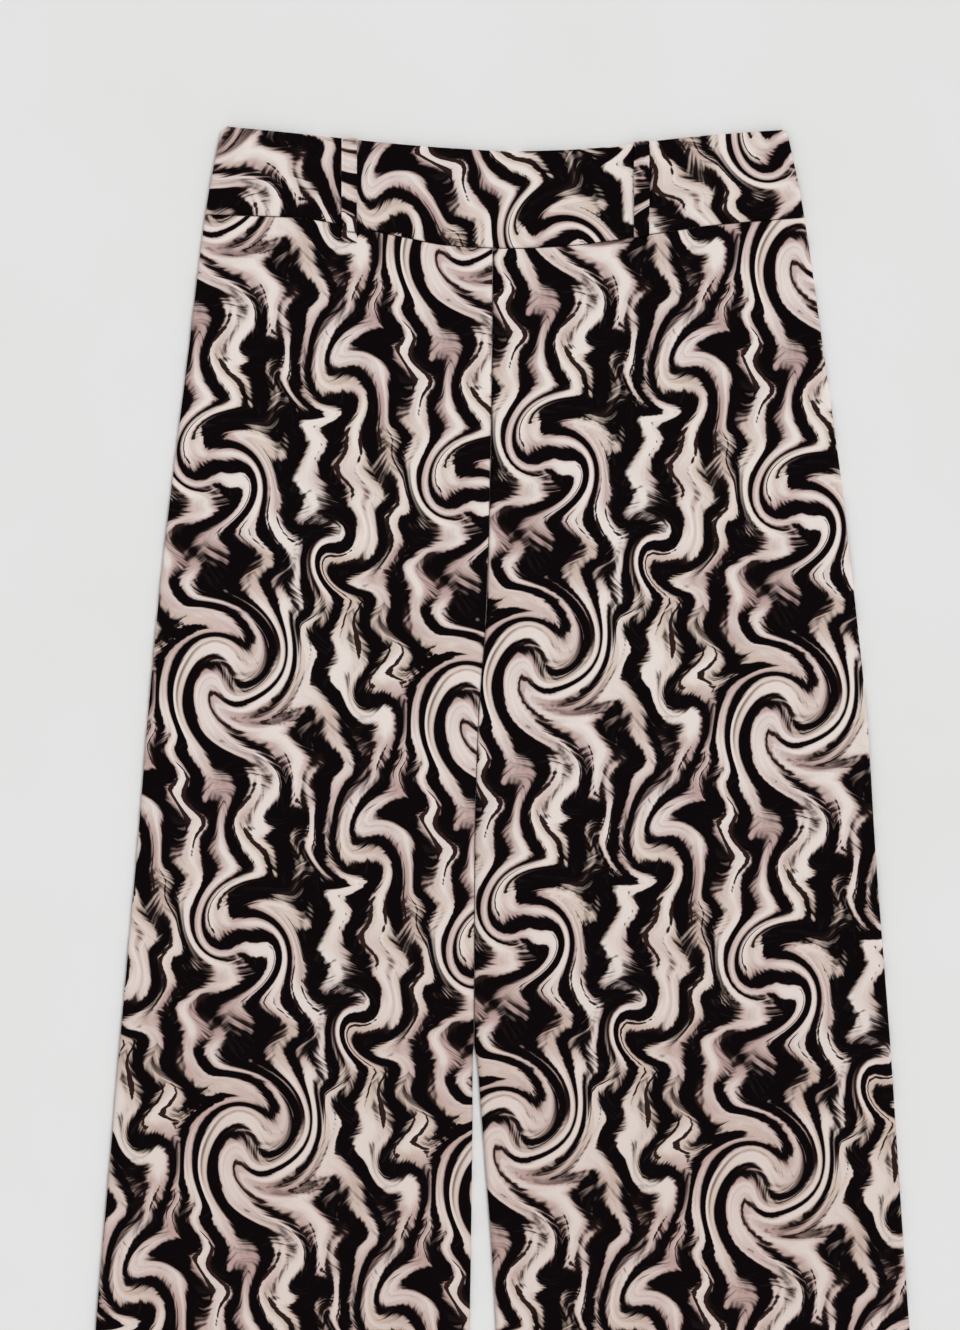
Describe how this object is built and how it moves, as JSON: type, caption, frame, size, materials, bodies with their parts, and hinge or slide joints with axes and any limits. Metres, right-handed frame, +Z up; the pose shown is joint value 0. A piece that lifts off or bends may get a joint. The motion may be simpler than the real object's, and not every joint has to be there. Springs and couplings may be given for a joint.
{
  "type": "culottes laid flat",
  "caption": "Wide-legged culottes laid flat, front up, with a deep shaped waistband and narrow belt loops of the same cloth.",
  "frame": {"origin": "middle of the underside's box, on the surface the garment lies on", "axes": "+X to the wearer's left, +Y to the waist, +Z up from the surface, out of the garment's front"},
  "size_m": [0.5352, 0.8367, 0.0076],
  "materials": {
    "leg_cloth": "matte crepe, cream and dusty blush, printed all over with swirling near-black animal stripes",
    "waistband_cloth": "the same printed crepe, doubled and firm",
    "loop_cloth": "the same printed crepe, folded into a narrow strip"
  },
  "bodies": {
    "root": {"front_right_leg": "leg_cloth", "front_left_leg": "leg_cloth", "back_right_leg": "leg_cloth", "back_left_leg": "leg_cloth", "waistband_front": "waistband_cloth", "waistband_back": "waistband_cloth", "belt_loop_right": "loop_cloth", "belt_loop_left": "loop_cloth"}
  },
  "joints": []
}
